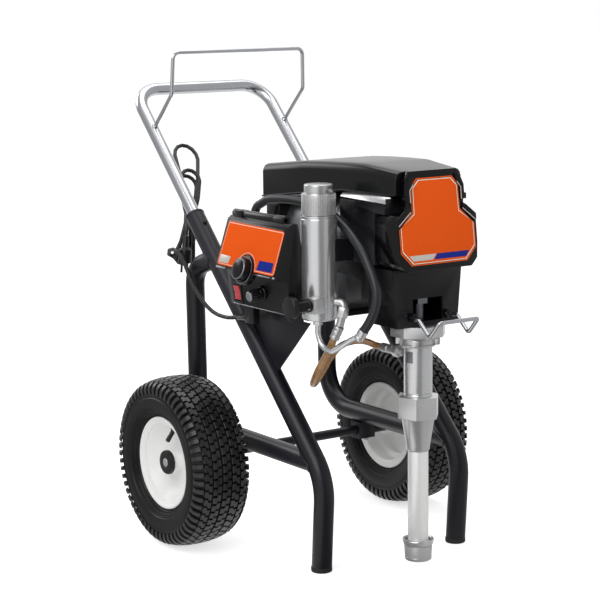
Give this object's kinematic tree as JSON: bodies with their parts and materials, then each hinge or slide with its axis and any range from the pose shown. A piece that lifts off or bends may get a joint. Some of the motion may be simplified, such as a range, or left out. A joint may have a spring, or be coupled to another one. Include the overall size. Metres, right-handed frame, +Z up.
{
  "type": "airless paint sprayer",
  "caption": "Electric airless paint sprayer on a two-wheeled cart: piston pump with suction tube, drive housing, control box, filter, pull-out handle and hose rack.",
  "frame": {"origin": "bottom centre of the bounding box, on the floor, measured without the mains cord", "axes": "+Z up, -Y the front with the pump and the front cover, +Y the side of the handle, -X the side of the control box"},
  "size_m": [0.6526, 0.8831, 0.9468],
  "materials": {
    "frame_black": "gloss black powder coat",
    "foot_rubber": "dull black rubber",
    "bush_plastic": "satin black plastic",
    "chrome": "bright chrome plating",
    "rim_white": "cream white enamel",
    "tyre_rubber": "black tyre rubber",
    "axle_steel": "bright turned steel",
    "motor_aluminium": "plain cast aluminium",
    "drive_steel": "machined steel",
    "housing_black": "cast aluminium, painted gloss black",
    "cover_black": "gloss black plastic",
    "label_orange": "printed label, orange",
    "pump_polished": "polished plated steel",
    "pump_plated": "bright zinc plating",
    "suction_silver": "pale plated steel",
    "box_black": "satin black paint",
    "knob_black": "satin black plastic",
    "panel_orange": "printed label, orange",
    "switch_red": "translucent red rocker",
    "cord_black": "black rubber sheath",
    "filter_polished": "polished plated steel",
    "fitting_plated": "bright zinc plating",
    "valve_black": "satin black plastic",
    "hose_black": "black rubber hose",
    "hose_brown": "translucent brown hose"
  },
  "bodies": {
    "base": {"frame_tube_left": "frame_black", "frame_tube_right": "frame_black", "rear_tube_left": "frame_black", "rear_tube_right": "frame_black", "axle_bracket_left": "frame_black", "axle_bracket_right": "frame_black", "cradle": "frame_black", "foot_cap_left": "foot_rubber", "foot_cap_right": "foot_rubber", "handle_bush_left": "bush_plastic", "handle_bush_right": "bush_plastic", "hub_cap_left": "bush_plastic", "hub_cap_right": "bush_plastic", "axle": "axle_steel", "motor": "motor_aluminium", "drive_housing": "housing_black", "front_cover": "cover_black", "shroud": "cover_black", "front_label": "label_orange", "pump_cylinder": "pump_polished", "pump_flange": "pump_plated", "jam_nut": "pump_plated", "intake_housing": "pump_plated", "strainer_collar": "pump_plated", "strainer": "pump_plated", "outlet_swivel": "pump_plated", "suction_tube": "suction_silver", "control_box": "box_black", "fuse_holder": "knob_black", "plug": "knob_black", "control_label": "panel_orange", "power_cord": "cord_black", "cord_hank": "cord_black", "plug_lead": "cord_black", "cord_tie": "cord_black", "filter_bowl": "filter_polished", "drain_pipe": "filter_polished", "filter_cap": "fitting_plated", "outlet_elbow": "fitting_plated", "prime_valve": "valve_black", "drain_hose": "hose_black", "paint_hose": "hose_brown"},
    "wheel_left": {"rim_left": "rim_white", "tyre_left": "tyre_rubber", "valve_stem_left": "tyre_rubber"},
    "wheel_right": {"rim_right": "rim_white", "tyre_right": "tyre_rubber", "valve_stem_right": "tyre_rubber"},
    "pull_handle": {"handle": "chrome", "hose_rack": "chrome"},
    "snap_left": {"snap_button_left": "chrome"},
    "snap_right": {"snap_button_right": "chrome"},
    "knob": {"pressure_knob": "knob_black"},
    "rocker": {"rocker_switch": "switch_red"},
    "prime_lever": {"prime_handle": "valve_black"},
    "hanger": {"pail_hanger": "pump_polished"},
    "motor_rotor": {"rotor": "drive_steel"},
    "crank": {"crank_gear": "drive_steel"},
    "piston_rod": {"pump_rod": "pump_polished"},
    "link": {"con_rod": "drive_steel"}
  },
  "joints": [
    {"name": "wheel_left_spin", "type": "hinge", "parent": "base", "child": "wheel_left", "pos_m": [-0.2663, 0.08134, 0.165], "axis": [1, 0, 0], "continuous": true},
    {"name": "wheel_right_spin", "type": "hinge", "parent": "base", "child": "wheel_right", "pos_m": [0.2663, 0.08134, 0.165], "axis": [1, 0, 0], "continuous": true},
    {"name": "handle_slide", "type": "slide", "parent": "base", "child": "pull_handle", "axis": [0, 0.7009, 0.7133], "range_m": [-0.21, 0]},
    {"name": "snap_left_press", "type": "slide", "parent": "base", "child": "snap_left", "axis": [0, 0.7133, -0.7009], "range_m": [0, 0.005], "stiffness_N_per_m": 300, "springref_m": -0.003},
    {"name": "snap_right_press", "type": "slide", "parent": "base", "child": "snap_right", "axis": [0, 0.7133, -0.7009], "range_m": [0, 0.005], "stiffness_N_per_m": 300, "springref_m": -0.003},
    {"name": "knob_turn", "type": "hinge", "parent": "base", "child": "knob", "pos_m": [-0.23998, -0.10666, 0.55686], "axis": [-0.9498, 0, 0.3127], "range_deg": [0, 270]},
    {"name": "rocker_tip", "type": "hinge", "parent": "base", "child": "rocker", "pos_m": [-0.20494, -0.03616, 0.50325], "axis": [0, 1, 0], "range_deg": [0, 8]},
    {"name": "prime_turn", "type": "hinge", "parent": "base", "child": "prime_lever", "pos_m": [-0.2154, -0.23366, 0.501], "axis": [-1, 0, 0], "range_deg": [0, 90]},
    {"name": "hanger_swing", "type": "hinge", "parent": "base", "child": "hanger", "pos_m": [0, -0.35366, 0.48], "axis": [-1, 0, 0], "range_deg": [0, 50]},
    {"name": "rotor_spin", "type": "hinge", "parent": "base", "child": "motor_rotor", "pos_m": [0, -0.20366, 0.605], "axis": [0, 1, 0], "continuous": true},
    {"name": "crank_spin", "type": "hinge", "parent": "base", "child": "crank", "pos_m": [0, -0.23866, 0.551], "axis": [0, 1, 0], "continuous": true},
    {"name": "rod_stroke", "type": "slide", "parent": "base", "child": "piston_rod", "axis": [0, 0, 1], "range_m": [-0.03, 0]},
    {"name": "link_swing", "type": "hinge", "parent": "piston_rod", "child": "link", "pos_m": [0, -0.31966, 0.516], "axis": [0, 1, 0], "range_deg": [-17, 17]}
  ],
  "couplings": [
    {"joint": "crank_spin", "follows": "rotor_spin", "ratio": -0.2}
  ]
}
